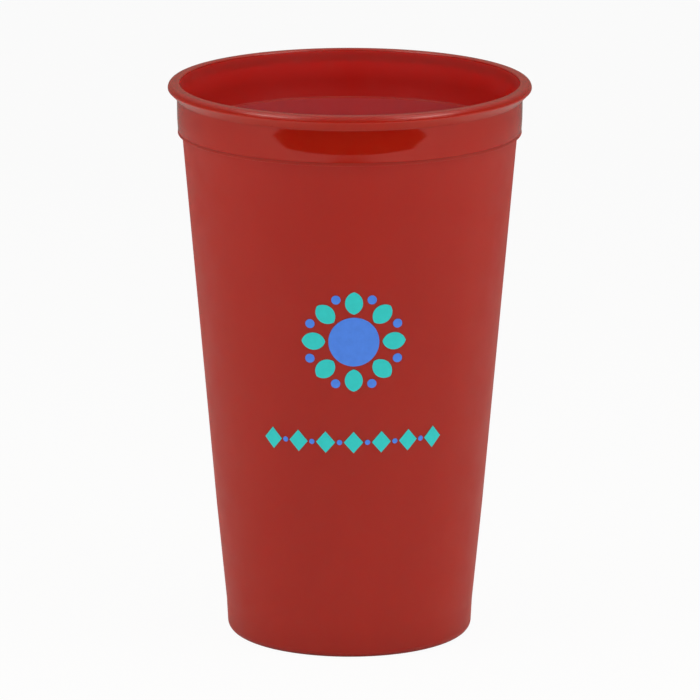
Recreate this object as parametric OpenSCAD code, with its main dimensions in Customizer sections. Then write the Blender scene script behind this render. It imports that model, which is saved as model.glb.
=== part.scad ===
// Plastic stadium cup: one thin-walled moulding, with a screen print in two inks.
// Millimetres. The cup's axis is Z, its foot stands on z = 0, and the print faces -Y.

/* [Overall] */
// Height of the cup, from the table to the top of the lip
height = 146; // [120:1:180]
// Diameter of the base, where the line of the wall would meet the table
base_d = 63.6; // [50:0.1:80]
// Thickness of the side wall, measured across
wall = 0.8; // [0.6:0.05:1.2]

/* [Taper of the wall] */
// Height of the steep zone just above the heel
heel_h = 8; // [6:0.5:12]
// Draft of the wall in that zone, in degrees
heel_draft = 3; // [1:0.1:5]
// Height at which the stronger taper of the lower wall ends
lower_h = 34; // [24:1:50]
// Draft of the lower wall, in degrees
lower_draft = 5.6; // [4:0.1:7]
// Draft of the upper wall, in degrees
upper_draft = 5; // [3.5:0.1:6.5]
// Radius that blends the steep zone into the lower wall
blend_r = 30; // [5:1:60]
// Radius of the bend between the lower and the upper wall
taper_r = 5; // [2:1:30]

/* [Band under the lip] */
// Drop from the top of the lip to the step, which is how far nested cups stand apart
stack_pitch = 13.2; // [10:0.1:18]
// Width of the step, from the wall out to the band
step_w = 0.98; // [0.6:0.01:1.6]
// How far the bead along the band's lower edge stands out
bead_w = 0.14; // [0.05:0.01:0.25]
// Height of that bead
bead_h = 0.9; // [0.5:0.1:1.5]
// Radius of the bead's lower edge
step_r = 0.15; // [0.05:0.05:0.2]
// Radius of the hollow above the bead
bead_r = 0.5; // [0.2:0.1:2]
// Height of the flared zone at the foot of the band
flare_h = 3.5; // [2.8:0.1:5]
// Draft of that zone, in degrees
flare_draft = 4.2; // [2:0.1:5.5]
// Draft of the rest of the band, in degrees
band_draft = 0.5; // [0:0.1:2]
// Radius that blends the flared zone into the rest of the band
flare_r = 55; // [5:5:65]
// Height of the ledge inside the cup, above the step outside
ledge_h = 0.4; // [0.3:0.05:1]
// Slope of that ledge, rising outward, in degrees
ledge_slope = 10; // [0:1:30]
// Radius at the inner and the outer side of the ledge
ledge_r = 0.15; // [0.05:0.05:0.3]

/* [Lip] */
// Width of the lip, from the inside of the cup to its outer edge
lip_w = 3.12; // [2.4:0.01:3.6]
// Height of the lip's upright edge, below its crown
edge_h = 0.2; // [0.2:0.05:0.8]
// Radius of the lip's outer shoulder, where its top turns down to its edge
crown_r = 1.42; // [0.8:0.02:1.8]
// Radius of the lip's inner edge, at the mouth
rim_r = 0.5; // [0.2:0.05:0.6]
// Slope of the lip's underside, in degrees below level
under_slope = 45; // [40:1:60]
// Radius of the lip's lower edge
edge_r = 0.4; // [0.1:0.05:0.45]
// Radius of the cove between the lip and the band
cove_r = 0.4; // [0.2:0.1:1.5]

/* [Base] */
// Thickness of the base
floor_t = 0.95; // [0.7:0.05:1.4]
// Outer radius of the heel
heel_r = 2.4; // [1.5:0.1:4]
// Width of the flat foot ring that stands on the table
foot_w = 1.4; // [0.8:0.1:3]
// Height of the base panel above the table
recess = 1.8; // [1:0.1:3]
// Slope of the ramp between the foot ring and the panel, in degrees
ramp_slope = 45; // [30:1:60]
// Radius at the top and the bottom of that ramp
ramp_r = 0.6; // [0.2:0.1:0.8]
// Diameter of the gate mark at the middle of the underside
gate_d = 2.4; // [1.5:0.1:4]
// Height of the gate mark
gate_h = 0.4; // [0.2:0.1:0.8]

/* [Print] */
// Thickness of the ink
ink_t = 0.1; // [0.05:0.01:0.2]
// How far the print is turned round the cup from the front, in degrees
print_turn = 1.6; // [-5:0.1:5]
// Height of the rosette's centre
rosette_z = 86; // [77:1:100]
// Diameter of the rosette
rosette_d = 26.6; // [20:0.2:34]
// Number of petals
petals = 8; // [5:1:10]
// Length of a petal, as a share of the rosette's diameter
petal_share = 0.225; // [0.18:0.005:0.26]
// Width of a petal, as a share of its length
petal_slim = 0.77; // [0.4:0.01:0.9]
// Gap between the petals and the rosette's middle disc
disc_gap = 0.8; // [0.4:0.1:1.5]
// Diameter of the dots between the petals, as a share of the rosette's diameter
dot_share = 0.09; // [0.04:0.005:0.1]
// Height of the middle of the row of lozenges
row_z = 59; // [50:1:66]
// Number of lozenges in the row
lozenges = 7; // [3:2:11]
// Distance from one lozenge to the next, round the wall
lozenge_pitch = 7.2; // [6.4:0.1:9]
// Width of a lozenge
lozenge_w = 5; // [3:0.1:5.4]
// Height of a lozenge
lozenge_h = 5.8; // [3:0.1:8]
// Gap between a lozenge and the dot beside it
spot_gap = 0.4; // [0.2:0.05:0.6]

/* [Hidden] */
$fn = 144;
arc_step = 10; // degrees for each facet of a rounded corner

step_z = height - stack_pitch;
flare_z = step_z + flare_h;
ledge_z = step_z + ledge_h;
lip_edge_z = height - crown_r - edge_h;

// Outer radius of the wall at a height
function wall_r(z) =
    z <= heel_h ? base_d / 2 + z * tan(heel_draft)
    : z <= lower_h ? wall_r(heel_h) + (z - heel_h) * tan(lower_draft)
    : wall_r(lower_h) + (z - lower_h) * tan(upper_draft);

// Outer radius of the band at a height, without its bead
function band_r(z) = wall_r(step_z) + step_w + (min(z, flare_z) - step_z) * tan(flare_draft)
    + max(0, z - flare_z) * tan(band_draft);

// Outer edge of the lip, and the height at which its underside runs out into the band
lip_edge_r = band_r(height) - wall + lip_w;
lip_root_z = lip_edge_z - (lip_edge_r - band_r(lip_edge_z)) * tan(under_slope)
    / (1 + tan(under_slope) * tan(band_draft));

// Height of the ledge's outer side, where it meets the inside of the band
ledge_top = ledge_z + (band_r(ledge_z) - wall_r(ledge_z)) * tan(ledge_slope);

// Foot ring, and the panel inside it
foot_out_r = wall_r(heel_r) - heel_r / cos(heel_draft);
foot_in_r = foot_out_r - foot_w;
panel_r = foot_in_r - recess / tan(ramp_slope);
ramp_shift = floor_t * tan(ramp_slope / 2);

// Corner b between a and c, rounded to radius r as a run of short chords
function rounded(a, b, c, r) =
    let (
        u = (a - b) / norm(a - b),
        v = (c - b) / norm(c - b),
        half = acos(u * v) / 2,
        centre = b + (u + v) / norm(u + v) * r / sin(half),
        first = b + u * r / tan(half) - centre,
        side = sign(cross(first, b + v * r / tan(half) - centre)),
        turn = side * (180 - 2 * half),
        n = ceil(abs(turn) / arc_step)
    )
    [for (i = [0:n]) centre + [
        first.x * cos(turn * i / n) - first.y * sin(turn * i / n),
        first.x * sin(turn * i / n) + first.y * cos(turn * i / n)
    ]];

// Outline through corners [x, y, radius], where a radius of 0 leaves a corner sharp
function outline(corners) =
    let (n = len(corners))
    [for (i = [0:n - 1])
        let (
            a = corners[(i + n - 1) % n],
            b = corners[i],
            c = corners[(i + 1) % n]
        )
        each b[2] == 0 ? [[b.x, b.y]]
            : rounded([a.x, a.y], [b.x, b.y], [c.x, c.y], b[2])];

// Underside and outside of the section, from the middle of the base up to the crown
outer_corners = [
    [0, recess - gate_h, 0],
    [gate_d / 2, recess - gate_h, 0],
    [gate_d / 2, recess, 0],
    [panel_r, recess, ramp_r],
    [foot_in_r, 0, ramp_r],
    [wall_r(0), 0, heel_r],
    [wall_r(heel_h), heel_h, blend_r],
    [wall_r(lower_h), lower_h, taper_r],
    [wall_r(step_z), step_z, 0],
    [band_r(step_z) + bead_w, step_z, step_r],
    [band_r(step_z + bead_h), step_z + bead_h, bead_r],
    [band_r(flare_z), flare_z, flare_r],
    [band_r(lip_root_z), lip_root_z, cove_r],
    [lip_edge_r, lip_edge_z, edge_r],
    [lip_edge_r, height, crown_r]
];

// Inside of the section, from the crown down to the middle of the floor
inner_corners = [
    [band_r(height) - wall, height, rim_r],
    [band_r(flare_z) - wall, flare_z, flare_r],
    [band_r(ledge_z) - wall, ledge_top, ledge_r],
    [wall_r(ledge_z) - wall, ledge_z, ledge_r],
    [wall_r(lower_h) - wall, lower_h, taper_r],
    [wall_r(heel_h) - wall, heel_h, blend_r],
    [wall_r(floor_t) - wall, floor_t, heel_r - wall],
    [foot_in_r + ramp_shift, floor_t, ramp_r / 2],
    [panel_r + ramp_shift, recess + floor_t, ramp_r],
    [0, recess + floor_t, 0]
];

module cup() {
    color([0.60, 0.11, 0.07])
        rotate_extrude()
            polygon(outline(concat(outer_corners, inner_corners)));
}

// Thin skin of ink on the upper wall, from just below the print to just above it
skin_low = row_z - lozenge_h;
skin_high = rosette_z + rosette_d;

module ink_skin() {
    rotate_extrude()
        polygon([
            [wall_r(skin_low), skin_low],
            [wall_r(skin_low) + ink_t, skin_low],
            [wall_r(skin_high) + ink_t, skin_high],
            [wall_r(skin_high), skin_high]
        ]);
}

// Ink on the wall in front of a flat shape, seen along +Y, at an angle round the cup and a height
module inked(angle, z) {
    intersection() {
        ink_skin();
        rotate([0, 0, print_turn + angle])
            translate([0, 0, z])
                rotate([90, 0, 0])
                    linear_extrude(band_r(height))
                        children();
    }
}

petal_l = rosette_d * petal_share;
petal_w = petal_l * petal_slim;
disc_d = rosette_d - 2 * petal_l - 2 * disc_gap;
dot_d = rosette_d * dot_share;
spot_d = lozenge_pitch - lozenge_w - 2 * spot_gap;

// Pointed oval with its middle at the origin and its length along Y
module petal() {
    r = (petal_l * petal_l + petal_w * petal_w) / (4 * petal_w);
    intersection() {
        translate([r - petal_w / 2, 0]) circle(r);
        translate([petal_w / 2 - r, 0]) circle(r);
    }
}

module lozenge() {
    polygon([
        [lozenge_w / 2, 0],
        [0, lozenge_h / 2],
        [-lozenge_w / 2, 0],
        [0, -lozenge_h / 2]
    ]);
}

row_step = lozenge_pitch / wall_r(row_z) * 180 / PI;
petal_mid = rosette_d / 2 - petal_l / 2;
dot_mid = rosette_d / 2 - dot_d / 2;

module print_turquoise() {
    color([0.16, 0.79, 0.76]) {
        for (i = [0:petals - 1])
            inked(0, rosette_z) rotate(360 * i / petals) translate([0, petal_mid]) petal();
        for (i = [0:lozenges - 1])
            inked((i - (lozenges - 1) / 2) * row_step, row_z) lozenge();
    }
}

module print_blue() {
    color([0.30, 0.50, 0.87]) {
        inked(0, rosette_z) circle(d = disc_d);
        for (i = [0:petals - 1])
            inked(0, rosette_z)
                rotate(360 * (i + 0.5) / petals) translate([0, dot_mid]) circle(d = dot_d);
        for (i = [1:lozenges - 1])
            inked((i - lozenges / 2) * row_step, row_z) circle(d = spot_d);
    }
}

cup();
print_turquoise();
print_blue();
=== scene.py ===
"""Plastic stadium cup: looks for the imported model. Metres, Z up, the print faces -Y."""

import math

import bpy
from mathutils import Matrix, Vector


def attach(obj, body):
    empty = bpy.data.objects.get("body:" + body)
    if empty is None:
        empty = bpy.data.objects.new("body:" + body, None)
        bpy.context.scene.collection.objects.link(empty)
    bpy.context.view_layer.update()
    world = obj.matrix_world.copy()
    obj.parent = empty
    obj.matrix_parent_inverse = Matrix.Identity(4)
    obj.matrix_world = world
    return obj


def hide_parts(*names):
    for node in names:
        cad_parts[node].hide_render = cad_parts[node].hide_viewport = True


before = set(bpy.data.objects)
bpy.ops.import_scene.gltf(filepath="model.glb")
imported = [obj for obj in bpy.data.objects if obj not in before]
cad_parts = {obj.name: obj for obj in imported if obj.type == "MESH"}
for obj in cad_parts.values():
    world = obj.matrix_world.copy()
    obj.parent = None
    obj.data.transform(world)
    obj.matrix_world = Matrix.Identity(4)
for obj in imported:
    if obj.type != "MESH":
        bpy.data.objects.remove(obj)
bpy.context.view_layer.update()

MM = 0.001

# The camera
CAMERA_AT = (0.0, -1.7796, 0.4968)
CAMERA_PITCH = math.radians(76.654)
CAMERA_ROLL = math.radians(0.045)
CAMERA_LENS = 360.7
CAMERA_SHIFT = 0.0006

camera_data = bpy.data.cameras.new("camera")
camera_data.lens = CAMERA_LENS
camera_data.sensor_width = 36.0
camera_data.shift_x = CAMERA_SHIFT
camera_data.clip_start = 0.05
camera_data.clip_end = 50.0
camera = bpy.data.objects.new("camera", camera_data)
bpy.context.scene.collection.objects.link(camera)
camera.matrix_world = (
    Matrix.Translation(CAMERA_AT)
    @ Matrix.Rotation(CAMERA_PITCH, 4, "X")
    @ Matrix.Rotation(CAMERA_ROLL, 4, "Z")
)
bpy.context.scene.camera = camera

# Section of the cup, in mm
HEIGHT = 146.0
BASE_D = 63.6
WALL = 0.8
HEEL_H, HEEL_DRAFT = 8.0, 3.0
LOWER_H, LOWER_DRAFT, UPPER_DRAFT = 34.0, 5.6, 5.0
BLEND_R, TAPER_R = 30.0, 5.0
STACK_PITCH, STEP_W = 13.2, 0.985
BEAD_W, BEAD_H, STEP_R, BEAD_R = 0.14, 0.9, 0.15, 0.5
FLARE_H, FLARE_DRAFT, FLARE_R = 3.48, 3.9, 29.0
EASE_H, EASE_DRAFT, EASE_R = 5.9, 1.3, 150.0
BAND_DRAFT = 0.4
LIP_W, EDGE_H, UNDER_SLOPE = 3.125, 0.2, 45.0
CROWN_R, RIM_R = 1.42, 0.5
LEDGE_H, LEDGE_R, LEDGE_SLOPE = 0.4, 0.15, 10.0
EDGE_R, COVE_R = 0.4, 0.4
FLOOR_T, HEEL_R, FOOT_W, RECESS = 0.95, 2.4, 1.4, 1.8
RAMP_SLOPE, RAMP_R = 45.0, 0.6
GATE_D, GATE_H = 2.4, 0.4
SEGMENTS = 256


def tan(degrees):
    return math.tan(math.radians(degrees))


STEP_Z = HEIGHT - STACK_PITCH
FLARE_Z = STEP_Z + FLARE_H
EASE_Z = STEP_Z + EASE_H


def wall_r(z):
    """Outer radius of the wall."""
    if z <= HEEL_H:
        return BASE_D / 2 + z * tan(HEEL_DRAFT)
    if z <= LOWER_H:
        return wall_r(HEEL_H) + (z - HEEL_H) * tan(LOWER_DRAFT)
    return wall_r(LOWER_H) + (z - LOWER_H) * tan(UPPER_DRAFT)


def band_r(z):
    """Outer radius of the band under the lip, without its bead."""
    flare = (min(z, FLARE_Z) - STEP_Z) * tan(FLARE_DRAFT)
    ease = max(0.0, min(z, EASE_Z) - FLARE_Z) * tan(EASE_DRAFT)
    return wall_r(STEP_Z) + STEP_W + flare + ease + max(0.0, z - EASE_Z) * tan(BAND_DRAFT)


def rounded(a, b, c, radius, step):
    """Corner b between a and c as an arc of points, one for each step of degrees."""
    a, b, c = Vector(a), Vector(b), Vector(c)
    u, v = (a - b).normalized(), (c - b).normalized()
    half = u.angle(v) / 2
    centre = b + (u + v).normalized() * radius / math.sin(half)
    first = b + u * radius / math.tan(half) - centre
    last = b + v * radius / math.tan(half) - centre
    side = math.copysign(1.0, first.x * last.y - first.y * last.x)
    turn = side * (math.pi - 2 * half)
    count = max(2, math.ceil(abs(math.degrees(turn)) / step))
    points = []
    for i in range(count + 1):
        s, k = math.sin(turn * i / count), math.cos(turn * i / count)
        points.append((centre.x + first.x * k - first.y * s, centre.y + first.x * s + first.y * k))
    return points


def section():
    """Outline of the wall from the middle of the underside, over the lip, to the middle of the floor."""
    edge_z = HEIGHT - CROWN_R - EDGE_H
    edge_r = band_r(HEIGHT) - WALL + LIP_W
    root_z = edge_z - (edge_r - band_r(edge_z)) * tan(UNDER_SLOPE) / (
        1 + tan(UNDER_SLOPE) * tan(BAND_DRAFT)
    )
    ledge_z = STEP_Z + LEDGE_H
    ledge_top = ledge_z + (band_r(ledge_z) - wall_r(ledge_z)) * tan(LEDGE_SLOPE)
    foot_out = wall_r(HEEL_R) - HEEL_R / math.cos(math.radians(HEEL_DRAFT))
    foot_in = foot_out - FOOT_W
    panel = foot_in - RECESS / tan(RAMP_SLOPE)
    shift = FLOOR_T * tan(RAMP_SLOPE / 2)
    corners = [
        (0, RECESS - GATE_H, 0, 0),
        (GATE_D / 2, RECESS - GATE_H, 0.1, 15),
        (GATE_D / 2, RECESS, 0.1, 15),
        (panel, RECESS, RAMP_R, 6),
        (foot_in, 0, RAMP_R, 6),
        (wall_r(0), 0, HEEL_R, 5),
        (wall_r(HEEL_H), HEEL_H, BLEND_R, 0.5),
        (wall_r(LOWER_H), LOWER_H, TAPER_R, 0.3),
        (wall_r(STEP_Z), STEP_Z, 0.05, 20),
        (band_r(STEP_Z) + BEAD_W, STEP_Z, STEP_R, 10),
        (band_r(STEP_Z + BEAD_H), STEP_Z + BEAD_H, BEAD_R, 2),
        (band_r(FLARE_Z), FLARE_Z, FLARE_R, 0.2),
        (band_r(EASE_Z), EASE_Z, EASE_R, 0.1),
        (band_r(root_z), root_z, COVE_R, 4),
        (edge_r, edge_z, EDGE_R, 5),
        (edge_r, HEIGHT, CROWN_R, 4),
        (band_r(HEIGHT) - WALL, HEIGHT, RIM_R, 6),
        (band_r(EASE_Z) - WALL, EASE_Z, EASE_R, 0.1),
        (band_r(FLARE_Z) - WALL, FLARE_Z, FLARE_R, 0.2),
        (band_r(ledge_z) - WALL, ledge_top, LEDGE_R, 10),
        (wall_r(ledge_z) - WALL, ledge_z, LEDGE_R, 10),
        (wall_r(LOWER_H) - WALL, LOWER_H, TAPER_R, 0.3),
        (wall_r(HEEL_H) - WALL, HEEL_H, BLEND_R, 0.5),
        (wall_r(FLOOR_T) - WALL, FLOOR_T, HEEL_R - WALL, 5),
        (foot_in + shift, FLOOR_T, RAMP_R / 2, 8),
        (panel + shift, RECESS + FLOOR_T, RAMP_R, 6),
        (0, RECESS + FLOOR_T, 0, 0),
    ]
    points = [corners[0][:2]]
    for a, b, c in zip(corners, corners[1:], corners[2:]):
        points += rounded(a[:2], b[:2], c[:2], b[2], b[3])
    points.append(corners[-1][:2])
    dense = [points[0]]
    for a, b in zip(points, points[1:]):
        span = math.dist(a, b)
        parts = max(1, math.ceil(span / 12.0))
        for i in range(1, parts + 1):
            dense.append((a[0] + (b[0] - a[0]) * i / parts, a[1] + (b[1] - a[1]) * i / parts))
    return dense


# Meshes
def make_object(name, vertices, faces, materials, face_material=None, sharp=None):
    mesh = bpy.data.meshes.new(name)
    mesh.from_pydata([Vector(v) * MM for v in vertices], [], faces)
    mesh.update()
    for material in materials:
        mesh.materials.append(material)
    if face_material:
        mesh.polygons.foreach_set("material_index", face_material)
    mesh.polygons.foreach_set("use_smooth", [True] * len(mesh.polygons))
    if sharp:
        mesh.set_sharp_from_angle(angle=math.radians(sharp))
    obj = bpy.data.objects.new(name, mesh)
    bpy.context.scene.collection.objects.link(obj)
    return obj


def revolve(points, zone_of):
    """Turns the section round Z. Returns vertices, faces and each face's material."""
    ring = [
        (math.sin(2 * math.pi * i / SEGMENTS), -math.cos(2 * math.pi * i / SEGMENTS))
        for i in range(SEGMENTS)
    ]
    vertices, faces, zones, starts = [], [], [], []
    for r, z in points:
        starts.append(len(vertices))
        vertices += [(0.0, 0.0, z)] if r < 1e-6 else [(r * x, r * y, z) for x, y in ring]
    for k in range(len(points) - 1):
        a, b = starts[k], starts[k + 1]
        zone = zone_of(k, points)
        for i in range(SEGMENTS):
            j = (i + 1) % SEGMENTS
            if points[k][0] < 1e-6:
                faces.append((a, b + j, b + i))
            elif points[k + 1][0] < 1e-6:
                faces.append((a + i, a + j, b))
            else:
                faces.append((a + i, a + j, b + j, b + i))
            zones.append(zone)
    return vertices, faces, zones


INK_T = 0.1
PRINT_TURN = 1.6
ROSETTE_Z, ROSETTE_D = 86.0, 26.6
PETALS, PETAL_SHARE, PETAL_SLIM, DISC_GAP, DOT_SHARE = 8, 0.225, 0.77, 0.8, 0.09
PETAL_L = ROSETTE_D * PETAL_SHARE
PETAL_W = PETAL_L * PETAL_SLIM
DISC_D = ROSETTE_D - 2 * PETAL_L - 2 * DISC_GAP
DOT_D = ROSETTE_D * DOT_SHARE
ROW_Z, LOZENGES, LOZENGE_PITCH = 59.0, 7, 7.2
LOZENGE_W, LOZENGE_H, SPOT_GAP = 5.0, 5.8, 0.4
SPOT_D = LOZENGE_PITCH - LOZENGE_W - 2 * SPOT_GAP


def circle_shape(diameter, count=96):
    return [
        (diameter / 2 * math.cos(2 * math.pi * i / count), diameter / 2 * math.sin(2 * math.pi * i / count))
        for i in range(count)
    ]


def petal_shape(count=24):
    """Pointed oval of two arcs, its length along the second axis."""
    r = (PETAL_L**2 + PETAL_W**2) / (4 * PETAL_W)
    half = math.asin(PETAL_L / 2 / r)
    off = r - PETAL_W / 2
    right = [
        (r * math.cos(t) - off, r * math.sin(t))
        for t in (half * (2 * i / count - 1) for i in range(count))
    ]
    return right + [(-x, -y) for x, y in right]


def lozenge_shape(count=10):
    tips = [(LOZENGE_W / 2, 0), (0, LOZENGE_H / 2), (-LOZENGE_W / 2, 0), (0, -LOZENGE_H / 2)]
    points = []
    for a, b in zip(tips, tips[1:] + tips[:1]):
        for i in range(count):
            points.append((a[0] + (b[0] - a[0]) * i / count, a[1] + (b[1] - a[1]) * i / count))
    return points


def moved(shape, turn, dx, dy):
    s, k = math.sin(math.radians(turn)), math.cos(math.radians(turn))
    return [((x + dx) * k - (y + dy) * s, (x + dx) * s + (y + dy) * k) for x, y in shape]


def ink_field(shape, angle, z0, out):
    """One field of ink on the wall. shape is seen along +Y; out collects vertices and faces."""
    vertices, faces = out
    cx = sum(x for x, y in shape) / len(shape)
    cy = sum(y for x, y in shape) / len(shape)
    reach = max(math.dist((cx, cy), p) for p in shape)
    rim = 0.05 / reach
    inner = max(2, math.ceil(reach / 0.8))
    # share of the way from the middle to the outline, and height above the wall as a share of the ink
    levels = [(i / inner * (1 - 2 * rim), 1.0) for i in range(inner + 1)]
    levels += [(1 - rim, 0.92), (1 - 0.3 * rim, 0.6), (1.0, 0.25), (1.0, -0.2)]
    turn = math.radians(PRINT_TURN + angle)
    s, k = math.sin(turn), math.cos(turn)

    def place(u, v, lift):
        z = z0 + v
        r = wall_r(z) + INK_T * lift
        y = -math.sqrt(r * r - u * u)
        return (u * k - y * s, u * s + y * k, z)

    n = len(shape)
    centre = len(vertices)
    vertices.append(place(cx, cy, 1.0))
    previous = None
    for share, lift in levels[1:]:
        start = len(vertices)
        for x, y in shape:
            vertices.append(place(cx + (x - cx) * share, cy + (y - cy) * share, lift))
        for i in range(n):
            j = (i + 1) % n
            if previous is None:
                faces.append((centre, start + i, start + j))
            else:
                faces.append((previous + i, start + i, start + j, previous + j))
        previous = start
    faces.append(tuple(previous + i for i in reversed(range(n))))


def ink_pieces():
    turquoise, blue = ([], []), ([], [])
    for i in range(PETALS):
        petal = moved(petal_shape(), 360 * i / PETALS, 0, ROSETTE_D / 2 - PETAL_L / 2)
        ink_field(petal, 0, ROSETTE_Z, turquoise)
        dot = moved(circle_shape(DOT_D, 36), 360 * (i + 0.5) / PETALS, 0, ROSETTE_D / 2 - DOT_D / 2)
        ink_field(dot, 0, ROSETTE_Z, blue)
    ink_field(circle_shape(DISC_D), 0, ROSETTE_Z, blue)
    step = math.degrees(LOZENGE_PITCH / wall_r(ROW_Z))
    for i in range(LOZENGES):
        ink_field(lozenge_shape(), (i - (LOZENGES - 1) / 2) * step, ROW_Z, turquoise)
    for i in range(1, LOZENGES):
        ink_field(circle_shape(SPOT_D, 28), (i - LOZENGES / 2) * step, ROW_Z, blue)
    return turquoise, blue


# Materials
def new_material(name):
    material = bpy.data.materials.new(name)
    material.use_nodes = True
    tree = material.node_tree
    tree.nodes.clear()
    output = tree.nodes.new("ShaderNodeOutputMaterial")
    shader = tree.nodes.new("ShaderNodeBsdfPrincipled")
    tree.links.new(shader.outputs["BSDF"], output.inputs["Surface"])
    coords = tree.nodes.new("ShaderNodeTexCoord").outputs["Object"]
    return material, tree, shader, coords


def noise(tree, coords, scale, detail=2.0, stretch=None):
    """Noise at scale waves a metre. stretch scales the coordinates first."""
    node = tree.nodes.new("ShaderNodeTexNoise")
    node.inputs["Scale"].default_value = scale
    node.inputs["Detail"].default_value = detail
    if stretch:
        mapping = tree.nodes.new("ShaderNodeMapping")
        mapping.inputs["Scale"].default_value = stretch
        tree.links.new(coords, mapping.inputs["Vector"])
        coords = mapping.outputs["Vector"]
    tree.links.new(coords, node.inputs["Vector"])
    return node.outputs["Fac"]


def ramp(tree, factor, low, high, at=(0.3, 0.7)):
    """Colours low to high as factor goes over at."""
    node = tree.nodes.new("ShaderNodeValToRGB")
    node.color_ramp.elements[0].position, node.color_ramp.elements[1].position = at
    node.color_ramp.elements[0].color = (*low, 1)
    node.color_ramp.elements[1].color = (*high, 1)
    tree.links.new(factor, node.inputs["Fac"])
    return node.outputs["Color"]


def spread(tree, factor, low, high, at=(0.3, 0.7)):
    """A number from low to high as factor goes over at."""
    node = tree.nodes.new("ShaderNodeMapRange")
    for name, value in zip(("From Min", "From Max", "To Min", "To Max"), (*at, low, high)):
        node.inputs[name].default_value = value
    tree.links.new(factor, node.inputs["Value"])
    return node.outputs["Result"]


def bump(tree, height, distance, strength=1.0, normal=None):
    node = tree.nodes.new("ShaderNodeBump")
    node.inputs["Strength"].default_value = strength
    node.inputs["Distance"].default_value = distance
    tree.links.new(height, node.inputs["Height"])
    if normal:
        tree.links.new(normal, node.inputs["Normal"])
    return node.outputs["Normal"]


RED = ((0.335, 0.0108, 0.0026), (0.355, 0.0120, 0.0030))
# Painted light: the inner band's red grows lighter towards the rim, and its green and blue are lifted as painted
# sheen.
INNER_BAND_PAINTED_LIGHT_RED = ((0.325, 0.0170, 0.0105), (0.580, 0.0460, 0.0370))
# Painted sheen: the inner wall's green and blue are lifted above the outer red's, standing in for the pale
# reflection of the ceiling.
INNER_PAINTED_SHEEN_RED = ((0.310, 0.0300, 0.0350), (0.325, 0.0320, 0.0370))
# Painted shade: a darker red for the underside of the step, the foot of the band and the ledge inside, where less
# light falls.
STEP_PAINTED_SHADE_RED = ((0.250, 0.0160, 0.0075), (0.260, 0.0170, 0.0080))
SATIN_TINT = (1.0, 0.64, 0.66, 1.0)
INNER_TINT = (1.0, 0.7, 0.7, 1.0)
LIP_TINT = (1.0, 0.75, 0.7, 1.0)
RED_TINT = (1.0, 0.56, 0.56, 1.0)


def plastic(name, colours, rough, grain, wave, tint=RED_TINT, rise=None):
    """Moulded plastic. grain and wave are the depth in metres of its fine texture and its slow unevenness.

    The colour wanders between the two given, or goes from one to the other over the heights in rise, a painted
    light that brightens towards the top.
    """
    material, tree, shader, coords = new_material(name)
    if rise:
        split = tree.nodes.new("ShaderNodeSeparateXYZ")
        tree.links.new(coords, split.inputs[0])
        tone = ramp(tree, spread(tree, split.outputs["Z"], 0.0, 1.0, rise), *colours, (0.0, 1.0))
    else:
        tone = ramp(tree, noise(tree, coords, 55.0, 3.0, (1.0, 1.0, 0.25)), *colours)
    tree.links.new(tone, shader.inputs["Base Color"])
    patch = noise(tree, coords, 120.0, 4.0)
    tree.links.new(spread(tree, patch, *rough), shader.inputs["Roughness"])
    shader.inputs["IOR"].default_value = 1.5
    shader.inputs["Specular IOR Level"].default_value = 0.65
    shader.inputs["Specular Tint"].default_value = tint
    shader.inputs["Subsurface Weight"].default_value = 1.0
    shader.inputs["Subsurface Radius"].default_value = (1.0, 0.12, 0.08)
    shader.inputs["Subsurface Scale"].default_value = 0.004
    slow = bump(tree, noise(tree, coords, 40.0, 1.0), wave)
    fine = bump(tree, noise(tree, coords, 3200.0, 2.0), grain, normal=slow)
    tree.links.new(fine, shader.inputs["Normal"])
    return material


def ink(name, low, high):
    """Matt screen ink: a slightly uneven film."""
    material, tree, shader, coords = new_material(name)
    film = noise(tree, coords, 700.0, 3.0)
    tree.links.new(ramp(tree, film, low, high), shader.inputs["Base Color"])
    tree.links.new(spread(tree, noise(tree, coords, 1500.0, 2.0), 0.5, 0.62), shader.inputs["Roughness"])
    shader.inputs["IOR"].default_value = 1.45
    tree.links.new(bump(tree, noise(tree, coords, 2600.0, 3.0), 0.00001), shader.inputs["Normal"])
    return material


satin = plastic("red_satin_plastic", RED, (0.40, 0.48), 0.000006, 0.00002, SATIN_TINT)
gloss = plastic("red_gloss_plastic", RED, (0.045, 0.07), 0.0000003, 0.000004)
lip_sheen = plastic("red_lip_plastic", RED, (0.20, 0.26), 0.000002, 0.00001, LIP_TINT)
# A darker copy of the satin plastic: painted shade on the step and on the ledge inside.
shade = plastic("red_step_plastic", STEP_PAINTED_SHADE_RED, (0.40, 0.48), 0.000006, 0.00002, SATIN_TINT)
# Inside the band: painted light, lighter from 0.138 to 0.146 m up, towards the rim.
inner_gloss_painted_light = plastic(
    "red_inner_gloss_plastic", INNER_BAND_PAINTED_LIGHT_RED, (0.32, 0.40), 0.000003, 0.00001, INNER_TINT, (0.138, 0.146)
)
# Inside below the ledge: painted sheen in the base colour.
inner_satin_painted_sheen = plastic("red_inner_satin_plastic", INNER_PAINTED_SHEEN_RED, (0.62, 0.70), 0.000006, 0.00002, (1, 1, 1, 1))
turquoise_ink = ink("turquoise_ink", (0.010, 0.53, 0.50), (0.013, 0.57, 0.54))
blue_ink = ink("blue_ink", (0.050, 0.193, 0.71), (0.058, 0.215, 0.77))

# The object's pieces
SATIN, GLOSS, LIP, PAINTED_SHADE_ZONE, INNER_GLOSS_PAINTED_LIGHT, INNER_SATIN_PAINTED_SHEEN = range(6)


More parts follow.
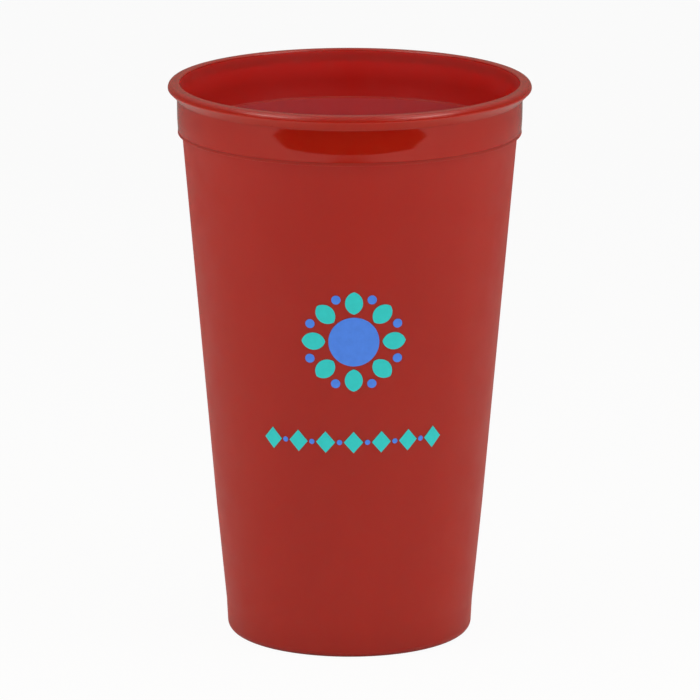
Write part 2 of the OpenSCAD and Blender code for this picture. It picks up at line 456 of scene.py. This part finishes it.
def zone_of(index, points):
    """The material of the ring of faces after a point of the section."""
    (r0, z0), (r1, z1) = points[index], points[index + 1]
    top = max(range(len(points)), key=lambda i: points[i][1])
    middle = (z0 + z1) / 2
    if index < top and min(r0, r1) < band_r(HEIGHT) + 0.05:
        if middle < STEP_Z - 0.1:
            return SATIN
        # The foot of the band and the underside of the step take the painted shade.
        return PAINTED_SHADE_ZONE if middle < STEP_Z + 0.55 else GLOSS
    if middle > HEIGHT - RIM_R or index < top:
        return LIP
    # The ledge inside takes the painted shade too.
    if abs(middle - STEP_Z - LEDGE_H) < 0.35:
        return PAINTED_SHADE_ZONE
    return INNER_GLOSS_PAINTED_LIGHT if middle > STEP_Z + LEDGE_H else INNER_SATIN_PAINTED_SHEEN


vertices, faces, zones = revolve(section(), zone_of)
cup = make_object("cup_moulding", vertices, faces, [satin, gloss, lip_sheen, shade, inner_gloss_painted_light, inner_satin_painted_sheen], zones, sharp=40)
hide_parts("cup")
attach(cup, "root")

turquoise, blue = ink_pieces()
for name, mesh, material, node, slot in (
    ("turquoise_print", turquoise, turquoise_ink, "print_turquoise", "turquoise_ink"),
    ("blue_print", blue, blue_ink, "print_blue", "blue_ink"),
):
    piece = make_object(name, *mesh, [material], sharp=50)
    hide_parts(node)
    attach(piece, "root")

# Floor, lamps and world
FLOOR_R = 6.0
TABLE_FRONT = -0.43
# The floor darkens from the front to the back: painted shade, where less lamp light reaches.
FLOOR_FRONT, FLOOR_BACK_PAINTED_SHADE = (0.95, 0.92, 0.85), (0.20, 0.19, 0.165)


def flat_stage(name, corners, material):
    mesh = bpy.data.meshes.new(name)
    mesh.from_pydata(corners, [], [tuple(range(len(corners)))])
    mesh.materials.append(material)
    obj = bpy.data.objects.new(name, mesh)
    bpy.context.scene.collection.objects.link(obj)
    return obj


def floor_material():
    """Pale floor, shown white to the camera with a light share of its shadow. To diffuse rays it also glows at
    strength 1.3 as painted bounce light on the cup. This glow rises to full away from the cup, fades out around
    the cup's foot as painted contact shade, and dims to a fifth beyond the table's front edge.
    """
    material, tree, shader, coords = new_material("floor_white")
    split = tree.nodes.new("ShaderNodeSeparateXYZ")
    tree.links.new(coords, split.inputs[0])
    floor_painted_falloff = ramp(tree, spread(tree, split.outputs["Y"], 0.0, 1.0, (-0.4, 0.6)), FLOOR_FRONT, FLOOR_BACK_PAINTED_SHADE, (0.0, 1.0))
    tree.links.new(floor_painted_falloff, shader.inputs["Base Color"])
    shader.inputs["Roughness"].default_value = 0.9
    shader.inputs["Specular IOR Level"].default_value = 0.0
    white = tree.nodes.new("ShaderNodeEmission")
    path = tree.nodes.new("ShaderNodeLightPath")
    reach = tree.nodes.new("ShaderNodeVectorMath")
    reach.operation = "LENGTH"
    tree.links.new(coords, reach.inputs[0])
    # Painted contact shade: the glow fades out between 30 and 42 mm from the axis, under and just around the cup's
    # foot.
    painted_contact_shade = spread(tree, reach.outputs["Value"], 0.0, 1.0, (0.030, 0.042))
    table = spread(tree, split.outputs["Y"], 0.2, 1.0, (TABLE_FRONT - 0.1, TABLE_FRONT))
    both = tree.nodes.new("ShaderNodeMath")
    both.operation = "MULTIPLY"
    tree.links.new(painted_contact_shade, both.inputs[0])
    tree.links.new(table, both.inputs[1])
    painted_glow_reach = both.outputs[0]
    share = None
    for output, part in (("Is Camera Ray", 0.95), ("Is Diffuse Ray", 0.9), ("Is Glossy Ray", 0.1), ("Is Transmission Ray", 0.95)):
        node = tree.nodes.new("ShaderNodeMath")
        node.operation = "MULTIPLY_ADD"
        node.inputs[1].default_value = part
        node.inputs[2].default_value = 0.0
        tree.links.new(path.outputs[output], node.inputs[0])
        if output == "Is Diffuse Ray":
            tree.links.new(painted_glow_reach, node.inputs[1])
        if share:
            tree.links.new(share, node.inputs[2])
        share = node.outputs[0]
    # Painted bounce light: to diffuse rays the floor glows at strength 1.3.
    painted_bounce_glow = tree.nodes.new("ShaderNodeMath")
    painted_bounce_glow.operation = "MULTIPLY_ADD"
    painted_bounce_glow.inputs[1].default_value = 0.3
    painted_bounce_glow.inputs[2].default_value = 1.0
    tree.links.new(path.outputs["Is Diffuse Ray"], painted_bounce_glow.inputs[0])
    tree.links.new(painted_bounce_glow.outputs[0], white.inputs["Strength"])
    mix = tree.nodes.new("ShaderNodeMixShader")
    tree.links.new(share, mix.inputs["Fac"])
    tree.links.new(shader.outputs["BSDF"], mix.inputs[1])
    tree.links.new(white.outputs["Emission"], mix.inputs[2])
    output = next(n for n in tree.nodes if n.type == "OUTPUT_MATERIAL")
    tree.links.new(mix.outputs["Shader"], output.inputs["Surface"])
    return material


disc = [
    (FLOOR_R * math.cos(2 * math.pi * i / 96), FLOOR_R * math.sin(2 * math.pi * i / 96), 0.0)
    for i in range(96)
]
flat_stage("floor", disc, floor_material())

# Dark room beyond the edges of the table, seen only in reflections
ROOM = 3.0
black = bpy.data.materials.new("dark_ground")
black.use_nodes = True
black_shader = black.node_tree.nodes["Principled BSDF"]
black_shader.inputs["Base Color"].default_value = (0.05, 0.05, 0.05, 1)
black_shader.inputs["Specular IOR Level"].default_value = 0.0
LIFT = 0.0005
corners = [(-ROOM, -ROOM, LIFT), (ROOM, -ROOM, LIFT), (ROOM, TABLE_FRONT, LIFT), (-ROOM, TABLE_FRONT, LIFT)]
ground = flat_stage("dark_ground", corners, black)
for ray in ("camera", "diffuse", "transmission", "volume_scatter", "shadow"):
    setattr(ground, "visible_" + ray, False)


def lamp(name, at, target, size, power):
    data = bpy.data.lights.new(name, "AREA")
    data.shape = "RECTANGLE"
    data.size, data.size_y = size
    data.energy = power
    obj = bpy.data.objects.new(name, data)
    bpy.context.scene.collection.objects.link(obj)
    obj.location = at
    obj.rotation_euler = (Vector(target) - Vector(at)).to_track_quat("-Z", "Y").to_euler()
    return obj


def softbox(name, azimuth, elevation, size, radiance, distance=2.2):
    """A lamp of that width and height, aimed at the cup. azimuth is measured from the front, to the right."""
    a, e = math.radians(azimuth), math.radians(elevation)
    aim = Vector((0, 0, 0.08))
    at = aim + distance * Vector((math.sin(a) * math.cos(e), -math.cos(a) * math.cos(e), math.sin(e)))
    lamp(name, at, aim, size, radiance * math.pi * size[0] * size[1])


softbox("softbox_left", -62, 46, (1.0, 0.6), 4.6)
softbox("softbox_left_low", -46, 22, (1.7, 1.0), 0.7)
softbox("softbox_right", 61, 45, (1.0, 0.65), 5.2)
softbox("softbox_right_low", 46, 22, (1.7, 1.0), 0.85)
softbox("softbox_left_top", -95, 65, (1.4, 1.0), 1.3)
softbox("softbox_right_top", 95, 65, (1.4, 1.0), 1.3)

CEILING = (0.5, 0.5, 0.5, 1.0)
FRONT_HORIZON, BACK_HORIZON = (0.12, 0.09, 0.075), (0.26, 0.21, 0.175)
world = bpy.data.worlds.new("studio")
bpy.context.scene.world = world
world.use_nodes = True
wt = world.node_tree
wt.nodes.clear()
world_out = wt.nodes.new("ShaderNodeOutputWorld")
room = wt.nodes.new("ShaderNodeBackground")
white = wt.nodes.new("ShaderNodeBackground")
white.inputs["Color"].default_value = (1, 1, 1, 1)
direction = wt.nodes.new("ShaderNodeTexCoord")
split = wt.nodes.new("ShaderNodeSeparateXYZ")
wt.links.new(direction.outputs["Generated"], split.inputs[0])
around = ramp(wt, spread(wt, split.outputs["Y"], 0.0, 1.0, (-0.2, 0.9)), FRONT_HORIZON, BACK_HORIZON, (0.0, 1.0))
rise = wt.nodes.new("ShaderNodeMixRGB")
wt.links.new(spread(wt, split.outputs["Z"], 0.0, 1.0, (0.2, 0.75)), rise.inputs["Fac"])
wt.links.new(around, rise.inputs["Color1"])
rise.inputs["Color2"].default_value = CEILING
wt.links.new(rise.outputs["Color"], room.inputs["Color"])
path = wt.nodes.new("ShaderNodeLightPath")
mix = wt.nodes.new("ShaderNodeMixShader")
wt.links.new(path.outputs["Is Camera Ray"], mix.inputs["Fac"])
wt.links.new(room.outputs["Background"], mix.inputs[1])
wt.links.new(white.outputs["Background"], mix.inputs[2])
wt.links.new(mix.outputs["Shader"], world_out.inputs["Surface"])

bpy.context.scene.view_settings.view_transform = "Standard"
